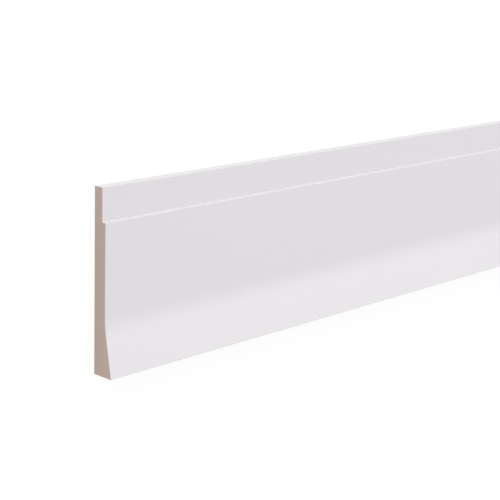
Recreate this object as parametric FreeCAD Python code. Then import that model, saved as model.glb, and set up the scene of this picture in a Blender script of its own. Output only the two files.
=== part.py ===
"""Skirting board length: one moulded board of painted MDF, lying on its back.

The board is a single piece with one section along its whole length: a plain band along
the top, a narrow ledge below it, a flat field, and a foot that flares out to the full
thickness of the panel. X runs along the board, Y from the floor edge to the top edge,
and Z from the wall face out to the room. The origin is the centre of the wall face.
Millimetres.
"""

import FreeCAD
import Part

import math
import os

# Overall size
BOARD_LENGTH = 2400.0
BOARD_HEIGHT = 120.0
PANEL_THICKNESS = 16.0  # the sawn panel, kept whole at the toe of the foot

# Moulded face
FIELD_THICKNESS = 10.0
BAND_HEIGHT = 21.5
LEDGE_DEPTH = 3.0  # how far the band stands back behind the field
FLARE_HEIGHT = 33.0  # from the floor edge to where the foot's slope would meet the field
FLARE_RADIUS = 72.0  # the hollow that eases the slope into the field

# Corners
ARRIS_RADIUS = 0.25  # eased outer edges of the painted face
ROOT_RADIUS = 0.3  # nose of the cutter, left in the corner behind the ledge
SQUARE = 0.0  # a corner that isn't eased

# Places on the section, worked out from the sizes above
FLOOR_EDGE = -BOARD_HEIGHT / 2
TOP_EDGE = BOARD_HEIGHT / 2
LEDGE = TOP_EDGE - BAND_HEIGHT
BAND_THICKNESS = FIELD_THICKNESS - LEDGE_DEPTH
WALL_FACE = 0.0

CUBIC_MM_IN_A_LITRE = 1e6


def section_corners():
    """Corners of the section in order round it, each as (y, z, radius)."""
    return [
        (FLOOR_EDGE, WALL_FACE, SQUARE),
        (FLOOR_EDGE, PANEL_THICKNESS, ARRIS_RADIUS),
        (FLOOR_EDGE + FLARE_HEIGHT, FIELD_THICKNESS, FLARE_RADIUS),
        (LEDGE, FIELD_THICKNESS, ARRIS_RADIUS),
        (LEDGE, BAND_THICKNESS, ROOT_RADIUS),
        (TOP_EDGE, BAND_THICKNESS, ARRIS_RADIUS),
        (TOP_EDGE, WALL_FACE, SQUARE),
    ]


def eased_corner(before, corner, after, radius):
    """The points where a round of this radius starts, is halfway and ends at a corner."""
    if radius == SQUARE:
        return [corner]
    to_before = (before - corner).normalize()
    to_after = (after - corner).normalize()
    half_angle = to_before.getAngle(to_after) / 2
    setback = radius / math.tan(half_angle)
    inward = (to_before + to_after).normalize()
    centre = corner + inward * (radius / math.sin(half_angle))
    return [
        corner + to_before * setback,
        centre - inward * radius,
        corner + to_after * setback,
    ]


def section_wire(x):
    """Closed outline of the section at x, of straight edges and tangent arcs."""
    corners = section_corners()
    points = [FreeCAD.Vector(x, y, z) for y, z, _ in corners]
    eased = []
    for i, (_, _, radius) in enumerate(corners):
        after = points[(i + 1) % len(points)]
        eased.append(eased_corner(points[i - 1], points[i], after, radius))

    edges = []
    for here, following in zip(eased, eased[1:] + eased[:1]):
        if len(here) == 3:
            edges.append(Part.Arc(*here).toShape())
        edges.append(Part.LineSegment(here[-1], following[0]).toShape())
    return Part.Wire(edges)


def skirting_board():
    """The section drawn at one end and run along the whole length."""
    section = Part.Face(section_wire(-BOARD_LENGTH / 2))
    return section.extrude(FreeCAD.Vector(BOARD_LENGTH, 0, 0))


def main():
    """Writes the board's file and prints its section and volume."""
    board = skirting_board()
    os.makedirs("parts", exist_ok=True)
    board.exportStep("parts/skirting_board.step")
    area = board.Volume / BOARD_LENGTH
    litres = board.Volume / CUBIC_MM_IN_A_LITRE
    print(f"section {area:.1f} mm2, volume {litres:.4f} litres, valid {board.isValid()}")


main()
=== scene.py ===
"""Looks of a skirting board length: white painted MDF with bare sawn ends, lying on its back.

X runs along the board, Y from the floor edge to the top edge, and Z from the wall face
out to the room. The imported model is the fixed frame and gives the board's overall size.
Here the section is drawn again with finer rounds, run along the length, and dressed in
paint and bare board. Sizes in the classes are millimetres, and the meshes are metres.
"""

import logging
import math
from dataclasses import dataclass
from enum import Enum, IntEnum

import bmesh
import bpy
from mathutils import Matrix, Vector


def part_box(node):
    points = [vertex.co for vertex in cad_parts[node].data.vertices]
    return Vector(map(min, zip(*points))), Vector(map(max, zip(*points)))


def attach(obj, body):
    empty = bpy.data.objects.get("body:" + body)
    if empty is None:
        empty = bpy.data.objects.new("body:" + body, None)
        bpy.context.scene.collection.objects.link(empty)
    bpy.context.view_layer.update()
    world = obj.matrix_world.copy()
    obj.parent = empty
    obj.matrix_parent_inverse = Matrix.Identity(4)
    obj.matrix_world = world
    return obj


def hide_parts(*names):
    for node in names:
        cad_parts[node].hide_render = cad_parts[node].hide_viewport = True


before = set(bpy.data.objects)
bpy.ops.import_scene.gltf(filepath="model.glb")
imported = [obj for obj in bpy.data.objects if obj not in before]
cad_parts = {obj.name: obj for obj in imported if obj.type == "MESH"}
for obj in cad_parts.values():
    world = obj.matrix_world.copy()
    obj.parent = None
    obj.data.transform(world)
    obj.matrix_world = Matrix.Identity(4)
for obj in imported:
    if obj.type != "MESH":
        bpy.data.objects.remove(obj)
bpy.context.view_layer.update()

MM = 0.001
BOARD_NODE = "skirting_board"
BODY = "root"
NEARLY_SQUARE = 0.9  # the share of a face's normal from which on it faces along an axis
MIDDLE = 0.5  # of a pattern whose values go from 0 to 1
RING_PACE = 20.0  # radians that a ring pattern turns through in one pattern length

Colour = tuple[float, float, float]
Size = tuple[float, float, float]
Box = tuple[Vector, Vector]

log = logging.getLogger("skirting_board")


class Axis(Enum):
    """An axis of the board's frame, under its name in separated coordinates."""

    ALONG = "X"
    UP_THE_BOARD = "Y"
    OUT_OF_THE_WALL = "Z"

    @property
    def way(self) -> Vector:
        """The unit vector along the axis."""
        return Vector([float(axis is self) for axis in Axis])


@dataclass(frozen=True)
class Mottle:
    """A pattern of smooth random values about 0.5.

    Attributes:
        size: How long its features are along X, Y and Z, in millimetres.
        detail: How many finer layers are added.
        fade: How strong each finer layer is next to the one before.
        turn: The pattern's turn about Z, in degrees.
    """

    size: Size
    detail: float = 2.0
    fade: float = 0.5
    turn: float = 0.0


class Wire:
    """An output socket of a shader node, on which arithmetic adds Math nodes."""

    def __init__(self, recipe: "Recipe", node: bpy.types.Node, output: int | str) -> None:
        """Keeps the node and the recipe that the next nodes go into.

        Args:
            recipe: The recipe that the node is part of.
            node: The node that the wire starts from.
            output: Its output socket.
        """
        self.recipe = recipe
        self.node = node
        self.output = output

    @property
    def socket(self) -> bpy.types.NodeSocket:
        """The socket that the wire starts from."""
        return self.recipe.find_socket(self.node.outputs, self.output)

    def _math(self, operation: str, first: "Value", second: "Value") -> "Wire":
        """Adds one Math node and returns its result."""
        return self.recipe.node("ShaderNodeMath", {"operation": operation}, {0: first, 1: second})

    def __add__(self, other: "Value") -> "Wire":
        """self + other."""
        return self._math("ADD", self, other)

    def __radd__(self, other: float) -> "Wire":
        """other + self."""
        return self._math("ADD", other, self)

    def __sub__(self, other: "Value") -> "Wire":
        """self - other."""
        return self._math("SUBTRACT", self, other)

    def __rsub__(self, other: float) -> "Wire":
        """other - self."""
        return self._math("SUBTRACT", other, self)

    def __mul__(self, other: "Value") -> "Wire":
        """self * other."""
        return self._math("MULTIPLY", self, other)

    def __rmul__(self, other: float) -> "Wire":
        """other * self."""
        return self._math("MULTIPLY", other, self)


Value = Wire | float | Colour


class Recipe:
    """The nodes that a material or the world is made of."""

    def __init__(self, owner: bpy.types.Material | bpy.types.World) -> None:
        """Starts an empty recipe.

        Args:
            owner: The material or the world.
        """
        self.owner = owner
        owner.use_nodes = True
        self.tree = owner.node_tree
        self.tree.nodes.clear()

    def node(
        self,
        kind: str,
        settings: dict[str, object],
        inputs: dict[int | str, Value],
        output: int | str = 0,
    ) -> Wire:
        """Adds one node.

        Args:
            kind: The node's type.
            settings: Properties of the node, set before its sockets.
            inputs: A value or a wire for each socket that isn't left at its default.
            output: The socket to return.

        Returns:
            The wire from the chosen output socket.
        """
        made = self.tree.nodes.new(kind)
        for setting, value in settings.items():
            setattr(made, setting, value)
        for key, value in inputs.items():
            socket = self.find_socket(made.inputs, key)
            if isinstance(value, Wire):
                self.tree.links.new(value.socket, socket)
            elif socket.type == "RGBA":
                socket.default_value = (*value, 1.0)
            else:
                socket.default_value = value
        return Wire(self, made, output)

    @staticmethod
    def find_socket(sockets: bpy.types.bpy_prop_collection, key: int | str) -> bpy.types.NodeSocket:
        """Finds a socket by its place, or by its name among those in use.

        Args:
            sockets: A node's inputs or outputs.
            key: The socket's place or its name.

        Returns:
            The socket.
        """
        if isinstance(key, int):
            return sockets[key]
        return next(socket for socket in sockets if socket.name == key and socket.enabled)

    def place(
        self,
        size: Size = (1.0, 1.0, 1.0),
        turn: float = 0.0,
        centre: Size = (0.0, 0.0, 0.0),
    ) -> Wire:
        """The point on the piece, in pattern lengths, for a pattern to be read at.

        Args:
            size: How long the pattern's features are along X, Y and Z, in millimetres.
            turn: The pattern's turn about Z, in degrees.
            centre: Where the pattern's centre lies on the piece, in millimetres.

        Returns:
            The point's coordinates, in which the features are one long.
        """
        here = self.node("ShaderNodeTexCoord", {}, {}, "Object")
        moved = self.node(
            "ShaderNodeVectorMath",
            {"operation": "SUBTRACT"},
            {0: here, 1: tuple(c * MM for c in centre)},
        )
        turned = self.node(
            "ShaderNodeVectorRotate",
            {"rotation_type": "Z_AXIS"},
            {"Vector": moved, "Angle": math.radians(turn)},
        )
        return self.node(
            "ShaderNodeVectorMath",
            {"operation": "DIVIDE"},
            {0: turned, 1: tuple(s * MM for s in size)},
        )

    def mottled(self, mottle: Mottle) -> Wire:
        """Adds a pattern of smooth random values.

        Args:
            mottle: The pattern.

        Returns:
            Its values, from 0 to 1.
        """
        return self.node(
            "ShaderNodeTexNoise",
            {"noise_dimensions": "3D"},
            {
                "Vector": self.place(mottle.size, mottle.turn),
                "Scale": 1.0,
                "Detail": mottle.detail,
                "Roughness": mottle.fade,
            },
            "Fac",
        )

    def swing(self, mottle: Mottle) -> Wire:
        """The values of a pattern about 0, from -0.5 to 0.5."""
        return self.mottled(mottle) - MIDDLE

    def along(self, axis: Axis) -> Wire:
        """The point's place along one axis, in millimetres."""
        return self.node("ShaderNodeSeparateXYZ", {}, {"Vector": self.place()}, axis.value)

    def ramp(
        self, value: Wire, start: float, end: float, low: float = 0.0, high: float = 1.0
    ) -> Wire:
        """An eased change from low to high while value goes from start to end.

        Args:
            value: What the change follows.
            start: The value at which it starts.
            end: The value at which it ends.
            low: The result up to the start.
            high: The result from the end on.

        Returns:
            The result.
        """
        return self.node(
            "ShaderNodeMapRange",
            {"interpolation_type": "SMOOTHSTEP"},
            {"Value": value, "From Min": start, "From Max": end, "To Min": low, "To Max": high},
        )

    def shade(self, colour: Value, share: Value) -> Wire:
        """Makes a colour lighter or darker.

        Args:
            colour: The colour.
            share: What it is multiplied by.

        Returns:
            The new colour.
        """
        return self.node(
            "ShaderNodeVectorMath", {"operation": "SCALE"}, {"Vector": colour, "Scale": share}
        )

    def mix(self, share: Value, colour: Value, other: Value) -> Wire:
        """Mixes two colours.

        Args:
            share: How much of the other colour is in the mix, from 0 to 1.
            colour: The colour at 0.
            other: The colour at 1.

        Returns:
            The mixed colour.
        """
        return self.node(
            "ShaderNodeMix",
            {"data_type": "RGBA"},
            {"Factor": share, "A": colour, "B": other},
            "Result",
        )

    def relief(self, height: Wire, depth: float) -> Wire:
        """The normal of a surface that is raised by depth millimetres where height is 1."""
        return self.node("ShaderNodeBump", {}, {"Height": height, "Distance": depth * MM})

    def finish(self, surface: Wire) -> bpy.types.Material | bpy.types.World:
        """Connects the last shader to the owner's output.

        Args:
            surface: The shader.

        Returns:
            The owner.
        """
        kind = "World" if isinstance(self.owner, bpy.types.World) else "Material"
        self.node(f"ShaderNodeOutput{kind}", {}, {"Surface": surface})
        return self.owner


@dataclass(frozen=True)
class WhitePaint:
    """Factory-sprayed white satin paint, smooth but for a fine orange peel.

    Attributes:
        tint: The paint's colour.
        clouds: Slow changes of the tint.
        unevenness: How much the tint varies with them.
        gloss: Roughness of the dry film.
        runs: Slow changes of the gloss, longer along the board.
        gloss_spread: How much the roughness varies with them.
        shine: How strongly the film reflects.
        peel: The orange peel's dimples.
        peel_depth: How deep they are.
    """

    tint: Colour = (0.707, 0.685, 0.707)
    clouds: Mottle = Mottle((60.0, 60.0, 60.0), detail=3.0)
    unevenness: float = 0.01
    gloss: float = 0.35
    runs: Mottle = Mottle((60.0, 20.0, 20.0), detail=3.0)
    gloss_spread: float = 0.05
    shine: float = 0.5
    peel: Mottle = Mottle((1.4, 1.4, 1.4), detail=1.5)
    peel_depth: float = 0.02

    def colour(self, recipe: Recipe) -> Wire:
        """The tint with its slow changes."""
        return recipe.shade(self.tint, 1 + recipe.swing(self.clouds) * self.unevenness)

    def material(self) -> bpy.types.Material:
        """Makes the material of the moulded face and the top edge.

        Returns:
            The material.
        """
        recipe = Recipe(bpy.data.materials.new("white_paint"))
        surface = recipe.node(
            "ShaderNodeBsdfPrincipled",
            {},
            {
                "Base Color": self.colour(recipe),
                "Roughness": self.gloss + recipe.swing(self.runs) * self.gloss_spread,
                "Specular IOR Level": self.shine,
                "Normal": recipe.relief(recipe.mottled(self.peel), self.peel_depth),
            },
        )
        return recipe.finish(surface)


@dataclass(frozen=True, kw_only=True)
class BareBoard:
    """Bare MDF: tan fibres pressed in thin layers that lie along the panel.

    Attributes:
        panel_thickness: The pressed panel, from its one skin to its other.
        tint: Mean colour of a cut face.
        bundle: Length, thickness and thickness of a fibre bundle.
        ways: The ways in which bundles lie within the layers, as turns in degrees.
        bundle_detail: How many finer layers the bundles have.
        bundle_fade: How strong each finer layer is next to the one before.
        bundle_contrast: How far bundles are lighter or darker than the mean.
        layers: The pressed layers.
        layer_contrast: How far one layer differs from the next.
        skin: Thickness of the dense skin on both of its faces.
        skin_shade: How dark a skin is next to the core.
        dryness: Roughness of the bare surface.
        nap_depth: Depth of the fuzz that a cutter leaves.
    """

    panel_thickness: float
    tint: Colour = (0.437, 0.345, 0.298)
    bundle: Size = (1.4, 0.2, 0.2)
    ways: tuple[float, ...] = (0.0, 57.0, 121.0)
    bundle_detail: float = 2.0
    bundle_fade: float = 0.6
    bundle_contrast: float = 0.2
    layers: Mottle = Mottle((14.0, 14.0, 0.9))
    layer_contrast: float = 0.07
    skin: float = 1.1
    skin_shade: float = 0.93
    dryness: float = 0.82
    nap_depth: float = 0.03

    def bundles(self, recipe: Recipe) -> Wire:
        """Adds fibre bundles that lie every way within the layers.

        Args:
            recipe: The recipe to add to.

        Returns:
            Their values about 0.
        """
        return sum(
            recipe.swing(Mottle(self.bundle, self.bundle_detail, self.bundle_fade, way))
            for way in self.ways
        )

    def colour(self, recipe: Recipe, bundles: Wire) -> Wire:
        """The tan with its bundles, its layers and its dense skins.

        Args:
            recipe: The recipe to add to.
            bundles: The bundles, which the surface's relief follows too.

        Returns:
            The colour.
        """
        depth = recipe.along(Axis.OUT_OF_THE_WALL)
        core = self.panel_thickness - self.skin
        skins = (
            recipe.ramp(depth, 0.0, self.skin, self.skin_shade, 1.0)
            * recipe.ramp(depth, core, self.panel_thickness, 1.0, self.skin_shade)
        )
        layers = recipe.swing(self.layers)
        share = 1 + bundles * self.bundle_contrast + layers * self.layer_contrast
        return recipe.shade(self.tint, share * skins)


@dataclass(frozen=True, kw_only=True)
class SawnEnd(BareBoard):
    """The cross-cut end of the board, with the faint arcs of the saw's teeth.

    Attributes:
        blade_radius: Radius of the saw's blade, which stood this far above the wall face.
        blade_shift: How far the blade's centre stood from the middle of the board.
        pitch: Distance from one tooth mark to the next.
        wander: How unevenly the marks run, in marks.
        wander_size: How fine that unevenness is next to the marks.
        mark_depth: Depth of a mark.
        painted_mark_shade: How much darker a mark's hollow is painted than its ridge; this is
            painted shade in the saw marks.
    """

    blade_radius: float = 125.0
    blade_shift: float = 25.0
    pitch: float = 1.6
    wander: float = 1.2
    wander_size: float = 3.0
    mark_depth: float = 0.02
    painted_mark_shade: float = 0.02

    def marks(self, recipe: Recipe) -> Wire:
        """Adds the arcs of the saw's teeth.

        Args:
            recipe: The recipe to add to.

        Returns:
            Their height, from 0 in a hollow to 1 on a ridge.
        """
        ring_length = self.pitch * RING_PACE / math.tau
        return recipe.node(
            "ShaderNodeTexWave",
            {"wave_type": "RINGS", "rings_direction": Axis.ALONG.value},
            {
                "Vector": recipe.place(
                    (ring_length, ring_length, ring_length),
                    centre=(0.0, self.blade_shift, self.blade_radius),
                ),
                "Scale": 1.0,
                "Distortion": self.wander,
                "Detail Scale": self.wander_size,
            },
            "Fac",
        )

    def material(self) -> bpy.types.Material:
        """Makes the material of both ends.

        Returns:
            The material.
        """
        recipe = Recipe(bpy.data.materials.new("mdf_sawn_end"))
        bundles = self.bundles(recipe)
        marks = self.marks(recipe)
        # Painted shade: the tint is darkened in the hollows of the saw marks and lightened on their
        # ridges, following their height.
        painted_shade = 1 + (marks - MIDDLE) * self.painted_mark_shade
        tint = recipe.shade(self.colour(recipe, bundles), painted_shade)
        height = marks + bundles * (self.nap_depth / self.mark_depth)
        surface = recipe.node(
            "ShaderNodeBsdfPrincipled",
            {},
            {
                "Base Color": tint,
                "Roughness": self.dryness,
                "Normal": recipe.relief(height, self.mark_depth),
            },
        )
        return recipe.finish(surface)


@dataclass(frozen=True, kw_only=True)
class SandedFace(BareBoard):
    """A sanded or planed bare face, with paint mist next to the painted face.

    Attributes:
        name: The material's name.
        painted_edge: The axis across the painted edge, and the edge's place on it.
        paint: The paint on the other side of that edge.
        mist: How far the paint reaches past it.
        mist_spread: How much that reach varies.
        raggedness: The pattern that it varies with.
        mist_smoothness: How much smoother the paint makes the surface.
        streaks: Long marks of the planer and the belt, along the board.
        streak_contrast: How far a streak is lighter or darker than the mean.
        nap_depth: Depth of the fuzz, which the belt has worn down.
    """

    name: str
    painted_edge: tuple[Axis, float]
    paint: WhitePaint
    mist: float = 1.8
    mist_spread: float = 3.6
    raggedness: Mottle = Mottle((7.0, 7.0, 7.0), detail=5.0, fade=0.65)
    mist_smoothness: float = 0.2
    streaks: Mottle = Mottle((90.0, 0.5, 0.5))
    streak_contrast: float = 0.05
    nap_depth: float = 0.015

    def mist_share(self, recipe: Recipe) -> Wire:
        """Adds the paint mist, which gets ragged and thin away from the painted edge.

        Args:
            recipe: The recipe to add to.

        Returns:
            How much it covers, from 1 at the edge to 0 on the bare board.
        """
        axis, edge = self.painted_edge
        ragged = recipe.swing(self.raggedness) * self.mist_spread
        return recipe.ramp(edge - recipe.along(axis) - ragged, 0.0, self.mist, 1.0, 0.0)

    def material(self) -> bpy.types.Material:
        """Makes the material of the wall face or the floor edge.

        Returns:
            The material.
        """
        recipe = Recipe(bpy.data.materials.new(self.name))
        bundles = self.bundles(recipe)
        streaks = recipe.swing(self.streaks)
        bare = recipe.shade(self.colour(recipe, bundles), 1 + streaks * self.streak_contrast)
        cover = self.mist_share(recipe)
        surface = recipe.node(
            "ShaderNodeBsdfPrincipled",
            {},
            {
                "Base Color": recipe.mix(cover, bare, self.paint.colour(recipe)),
                "Roughness": self.dryness - cover * self.mist_smoothness,
                "Normal": recipe.relief(bundles + streaks, self.nap_depth),
            },
        )
        return recipe.finish(surface)


class Surface(IntEnum):
    """The board's kinds of surface, each with the place of its material on the mesh."""

    PAINTED = 0
    SAWN_END = 1
    WALL_FACE = 2
    FLOOR_EDGE = 3


@dataclass(frozen=True)
class Corner:
    """A corner of the section.

    Attributes:
        y: Its place up the board.
        z: Its place out of the wall.
        radius: The round that eases it, or 0.
        steps: How many straight steps the round is drawn with.
    """

    y: float
    z: float
    radius: float = 0.0
    steps: int = 0

    def point(self, x: float) -> Vector:
        """The sharp corner at x along the board, in metres."""
        return Vector((x, self.y, self.z)) * MM


@dataclass
class SkirtingBoard:
    """The board itself: one section, run along the whole length.

    Attributes:
        box: The board's place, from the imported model, in metres.
        panel_thickness: The sawn panel, kept whole at the toe of the foot.
        field_thickness: The flat field below the ledge.
        band_height: The plain band along the top.
        ledge_depth: How far the band stands back behind the field.
        flare_height: From the floor edge to where the foot's slope would meet the field.
        flare_radius: The hollow that eases the slope into the field.
        arris_radius: The eased outer edges of the painted face.
        root_radius: The corner behind the ledge.
        hollow_steps: How many straight steps the hollow is drawn with.
        arris_steps: The same for an eased outer edge.
        root_steps: The same for the corner behind the ledge.
        bays: How many equal lengths the mesh is divided into, to keep its faces short.
        film: Thickness of the paint, which shows where the saw cut through it.
        crease: The angle between faces, in degrees, from which their edge stays sharp.
        paint: The paint on the moulded face, the ledge and the top edge.
    """

    box: Box
    panel_thickness: float = 16.0
    field_thickness: float = 10.0
    band_height: float = 21.5
    ledge_depth: float = 3.0
    flare_height: float = 33.0
    flare_radius: float = 72.0
    arris_radius: float = 0.25
    root_radius: float = 0.3
    hollow_steps: int = 32
    arris_steps: int = 8
    root_steps: int = 6
    bays: int = 24
    film: float = 0.1
    crease: float = 30.0
    paint: WhitePaint = WhitePaint()

    def __post_init__(self) -> None:
        """Works out the board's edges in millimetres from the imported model."""
        low, high = self.box
        self.left_end = low.x / MM
        self.right_end = high.x / MM
        self.floor_edge = low.y / MM
        self.top_edge = high.y / MM
        self.wall_face = low.z / MM

    def corners(self) -> list[Corner]:
        """Works out the section's corners.

        Returns:
            The corners, in order round the section.
        """
        flare = self.floor_edge + self.flare_height
        ledge = self.top_edge - self.band_height
        field = self.field_thickness
        band = field - self.ledge_depth
        arris = (self.arris_radius, self.arris_steps)
        return [
            Corner(self.floor_edge, self.wall_face),
            Corner(self.floor_edge, self.panel_thickness, *arris),
            Corner(flare, field, self.flare_radius, self.hollow_steps),
            Corner(ledge, field, *arris),
            Corner(ledge, band, self.root_radius, self.root_steps),
            Corner(self.top_edge, band, *arris),
            Corner(self.top_edge, self.wall_face),
        ]

    def draw_corner(
        self, bm: bmesh.types.BMesh, before: Corner, corner: Corner, after: Corner
    ) -> list[bmesh.types.BMVert]:
        """Draws one corner of the section at the left end, spun round if it is eased.

        Args:
            bm: The mesh to draw in.
            before: The corner before this one.
            corner: The corner to draw.
            after: The corner after it.

        Returns:
            The corner's vertices in order: one if it is sharp.
        """
        sharp = corner.point(self.left_end)
        if corner.radius == 0.0:
            return [bm.verts.new(sharp)]
        back = (before.point(self.left_end) - sharp).normalized()
        on = (after.point(self.left_end) - sharp).normalized()
        half_angle = back.angle(on) / 2
        radius = corner.radius * MM
        centre = sharp + (back + on).normalized() * (radius / math.sin(half_angle))
        first = bm.verts.new(sharp + back * (radius / math.tan(half_angle)))
        spun = bmesh.ops.spin(
            bm,
            geom=[first],
            cent=centre,
            axis=back.cross(on).normalized(),
            angle=2 * half_angle - math.pi,
            steps=corner.steps,
        )
        last = next(part for part in spun["geom_last"] if isinstance(part, bmesh.types.BMVert))
        chain = [first]
        while chain[-1] is not last:
            beside = [edge.other_vert(chain[-1]) for edge in chain[-1].link_edges]
            chain.append(next(vert for vert in beside if vert not in chain))
        return chain

    def build(self) -> bpy.types.Object:
        """Makes the board's mesh and its object.

        Returns:
            The board, without its materials.
        """
        bm = bmesh.new()
        corners = self.corners()
        outline: list[bmesh.types.BMVert] = []
        for i, corner in enumerate(corners):
            outline += self.draw_corner(bm, corners[i - 1], corner, corners[(i + 1) % len(corners)])
        section = bm.faces.new(outline)
        run = bmesh.ops.extrude_face_region(bm, geom=[section])
        moved = [part for part in run["geom"] if isinstance(part, bmesh.types.BMVert)]
        length = self.right_end - self.left_end
        bmesh.ops.translate(bm, verts=moved, vec=Axis.ALONG.way * length * MM)
        log.info("section of %d points, %d faces after the run", len(outline), len(bm.faces))
        self.divide(bm)
        bmesh.ops.recalc_face_normals(bm, faces=bm.faces)
        self.sort_surfaces(bm)
        self.show_film(bm)

        mesh = bpy.data.meshes.new("board")
        bm.to_mesh(mesh)
        bm.free()
        board = bpy.data.objects.new("board", mesh)
        bpy.context.scene.collection.objects.link(board)
        even = board.modifiers.new("even_normals", "WEIGHTED_NORMAL")
        even.keep_sharp = True
        return board

    def divide(self, bm: bmesh.types.BMesh) -> None:
        """Cuts the mesh into equal bays along the board.

        Args:
            bm: The board's mesh.
        """
        bay = (self.right_end - self.left_end) / self.bays
        for i in range(1, self.bays):
            bmesh.ops.bisect_plane(
                bm,
                geom=[*bm.verts, *bm.edges, *bm.faces],
                plane_co=Axis.ALONG.way * (self.left_end + i * bay) * MM,
                plane_no=Axis.ALONG.way,
            )

    def sort_surfaces(self, bm: bmesh.types.BMesh) -> None:
        """Gives each face its surface, and keeps the corners that aren't eased sharp.

        Args:
            bm: The board's mesh.
        """
        for face in bm.faces:
            face.smooth = True
            face.material_index = self.surface_of(face)
        for edge in bm.edges:
            edge.smooth = edge.calc_face_angle() < math.radians(self.crease)

    def show_film(self, bm: bmesh.types.BMesh) -> None:
        """Sets the cut paint film as a thin white rim into both ends, on their painted sides.

        Args:
            bm: The board's mesh.
        """
        ends = [face for face in bm.faces if self.surface_of(face) is Surface.SAWN_END]
        rim = bmesh.ops.inset_region(
            bm, faces=ends, thickness=self.film * MM, use_even_offset=True
        )
        for face in rim["faces"]:
            beside = {self.surface_of(other) for edge in face.edges for other in edge.link_faces}
            if Surface.PAINTED in beside:
                face.material_index = Surface.PAINTED

    @staticmethod
    def surface_of(face: bmesh.types.BMFace) -> Surface:
        """Tells a face's surface by the way it faces.

        Args:
            face: A face of the board's mesh.

        Returns:
            The surface that it is part of.
        """
        along, up, out = face.normal
        if abs(along) > NEARLY_SQUARE:
            return Surface.SAWN_END
        if out < -NEARLY_SQUARE:
            return Surface.WALL_FACE
        if up < -NEARLY_SQUARE:
            return Surface.FLOOR_EDGE
        return Surface.PAINTED

    def dress(self, board: bpy.types.Object) -> None:
        """Gives the board its materials, in the order of Surface.

        Args:
            board: The board, which has none yet.
        """
        thickness = self.panel_thickness
        finishes = {
            Surface.PAINTED: self.paint,
            Surface.SAWN_END: SawnEnd(panel_thickness=thickness),
            Surface.WALL_FACE: SandedFace(
                name="mdf_wall_face",
                painted_edge=(Axis.UP_THE_BOARD, self.top_edge),
                paint=self.paint,
                panel_thickness=thickness,
            ),
            Surface.FLOOR_EDGE: SandedFace(
                name="mdf_floor_edge",
                painted_edge=(Axis.OUT_OF_THE_WALL, thickness),
                paint=self.paint,
                panel_thickness=thickness,
            ),
        }
        for surface in Surface:
            board.data.materials.append(finishes[surface].material())


@dataclass(frozen=True)
class Sun:
    """A wide, even lamp, far enough away to light the whole length alike.

    Attributes:
        name: The lamp's name.
        from_side: Where its light comes from, as the light it gives a face square to X, Y and Z.
        width: How wide the lamp looks, in degrees.
        glare: Whether glossy surfaces mirror the lamp.
        distance: How far it hangs from the board's centre in metres, which the light ignores.
    """

    name: str
    from_side: Size
    width: float
    glare: bool = True
    distance: float = 3.0

    def hang(self) -> bpy.types.Object:
        """Makes the lamp and turns it to shine on the board.

        Returns:
            The lamp.
        """
        towards = Vector(self.from_side)
        light = bpy.data.lights.new(self.name, "SUN")
        light.energy = towards.length * math.pi
        light.angle = math.radians(self.width)
        lamp = bpy.data.objects.new(self.name, light)
        lamp.rotation_mode = "QUATERNION"
        lamp.rotation_quaternion = towards.to_track_quat("Z", "Y")
        lamp.location = towards.normalized() * self.distance
        lamp.visible_glossy = self.glare
        bpy.context.scene.collection.objects.link(lamp)
        return lamp


@dataclass(frozen=True)
class Viewpoint:
    """Where the camera stands, measured from the near end's corner of floor edge and wall.

    Attributes:
        before_end: How far it stands before the near end.
        above_edge: How far above the floor edge.
        off_wall: How far out of the wall face.
        aim_along: The point it looks at on the field, along from the near end.
        aim_up: That point's height above the floor edge.
        lean: How far the picture leans, in degrees.
        lens: The lens's focal length.
        film: The width of the film behind it.
    """

    before_end: float = 531.3
    above_edge: float = 291.3
    off_wall: float = 630.8
    aim_along: float = 127.7
    aim_up: float = 61.23
    lean: float = -1.873
    lens: float = 99.68
    film: float = 36.0

    def place(self, board: SkirtingBoard) -> bpy.types.Object:
        """Stands the camera before the board.

        Args:
            board: The board that it looks at.

        Returns:
            The scene's camera.
        """
        eye = Vector((
            board.left_end - self.before_end,
            board.floor_edge + self.above_edge,
            board.wall_face + self.off_wall,
        ))
        aim = Vector((
            board.left_end + self.aim_along,
            board.floor_edge + self.aim_up,
            board.wall_face + board.field_thickness,
        ))
        ahead = (aim - eye).normalized()
        level = ahead.cross(Axis.UP_THE_BOARD.way).normalized()
        lean = Matrix.Rotation(math.radians(self.lean), 3, ahead)
        right = lean @ level
        up = right.cross(ahead)

        data = bpy.data.cameras.new("camera")
        data.lens = self.lens
        data.sensor_width = self.film
        camera = bpy.data.objects.new("camera", data)
        camera.rotation_mode = "QUATERNION"
        camera.rotation_quaternion = Matrix((right, up, -ahead)).transposed().to_quaternion()
        camera.location = eye * MM
        bpy.context.scene.collection.objects.link(camera)
        bpy.context.scene.camera = camera
        return camera


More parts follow.
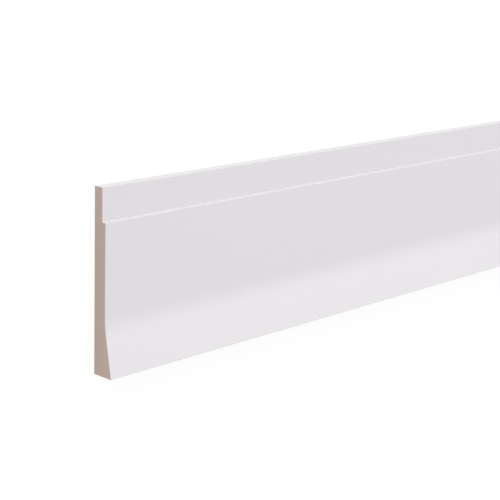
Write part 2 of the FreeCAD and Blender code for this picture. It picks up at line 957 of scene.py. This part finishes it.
@dataclass(frozen=True)
class Studio:
    """A plain white room with even light from all round.

    Attributes:
        sky: Even light, as a share of the light that shows a colour as it is written.
        lamps: One above the near end, kept out of the gloss, and one in front that the foot
            mirrors.
        floor_radius: The floor's radius in metres.
        floor_sides: How many straight sides its round has.
        floor_gap: How far the floor lies under the board.
        floor_tint: The floor's paleness, as the board is lit by it.
        glow: The part of the floor's white that no shadow takes away.
        shown_tint: The part that a shadow does take away.
    """

    sky: float = 0.745
    lamps: tuple[Sun, ...] = (
        Sun("key_lamp", (-0.40, 0.48, 0.14), 40.0, glare=False),
        Sun("front_lamp", (0.11, 0.03, 0.12), 36.0),
    )
    floor_radius: float = 60.0
    floor_sides: int = 64
    floor_gap: float = 0.05
    floor_tint: float = 0.6
    glow: float = 0.82
    shown_tint: float = 0.21

    @staticmethod
    def seen(recipe: Recipe) -> Wire:
        """Tells what the camera sees, straight on or by gloss or glass, from what only lights.

        Args:
            recipe: The recipe to add to.

        Returns:
            1 for what is seen, and 0 for what only lights.
        """
        camera, gloss, glass = (
            recipe.node("ShaderNodeLightPath", {}, {}, f"Is {ray} Ray")
            for ray in ("Camera", "Glossy", "Transmission")
        )
        return recipe.ramp(camera + gloss + glass, 0.0, 1.0)

    def lay_floor(self) -> bpy.types.Object:
        """Makes the floor: pale where it lights the board, and white where it is seen.

        Returns:
            The floor.
        """
        bm = bmesh.new()
        bmesh.ops.create_circle(
            bm, cap_ends=True, segments=self.floor_sides, radius=self.floor_radius
        )
        down = -Axis.OUT_OF_THE_WALL.way
        bmesh.ops.translate(bm, verts=bm.verts, vec=down * self.floor_gap * MM)
        mesh = bpy.data.meshes.new("floor")
        bm.to_mesh(mesh)
        bm.free()
        recipe = Recipe(bpy.data.materials.new("pale_floor"))
        lighting = recipe.node("ShaderNodeBsdfDiffuse", {}, {"Color": (self.floor_tint,) * 3})
        shown = recipe.node("ShaderNodeBsdfDiffuse", {}, {"Color": (self.shown_tint,) * 3})
        white = recipe.node("ShaderNodeEmission", {}, {"Strength": self.glow})
        glowing = recipe.node("ShaderNodeAddShader", {}, {0: shown, 1: white})
        mixed = recipe.node(
            "ShaderNodeMixShader", {}, {0: self.seen(recipe), 1: lighting, 2: glowing}
        )
        mesh.materials.append(recipe.finish(mixed))
        floor = bpy.data.objects.new("floor", mesh)
        bpy.context.scene.collection.objects.link(floor)
        return floor

    def light(self) -> None:
        """Hangs the lamps and sets the even light, which the camera sees as white."""
        for lamp in self.lamps:
            lamp.hang()
        sky = Recipe(bpy.data.worlds.new("studio"))
        strength = sky.ramp(self.seen(sky), 0.0, 1.0, self.sky, 1.0)
        white = (1.0, 1.0, 1.0)
        bpy.context.scene.world = sky.finish(
            sky.node("ShaderNodeBackground", {}, {"Color": white, "Strength": strength})
        )


def main() -> None:
    """Builds the board and the studio."""
    logging.basicConfig(level=logging.INFO, format="%(name)s: %(message)s")
    maker = SkirtingBoard(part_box(BOARD_NODE))
    board = maker.build()
    maker.dress(board)
    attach(board, BODY)
    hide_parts(BOARD_NODE)
    log.info("%s: %d faces in %d materials", board.name, len(board.data.polygons), len(Surface))

    studio = Studio()
    floor = studio.lay_floor()
    studio.light()
    log.info("%s: %d lamps over it", floor.name, len(studio.lamps))
    camera = Viewpoint().place(maker)
    log.info("%s: %.1f mm lens", camera.name, camera.data.lens)
    bpy.context.scene.view_settings.view_transform = "Standard"


if __name__ == "__main__":
    main()
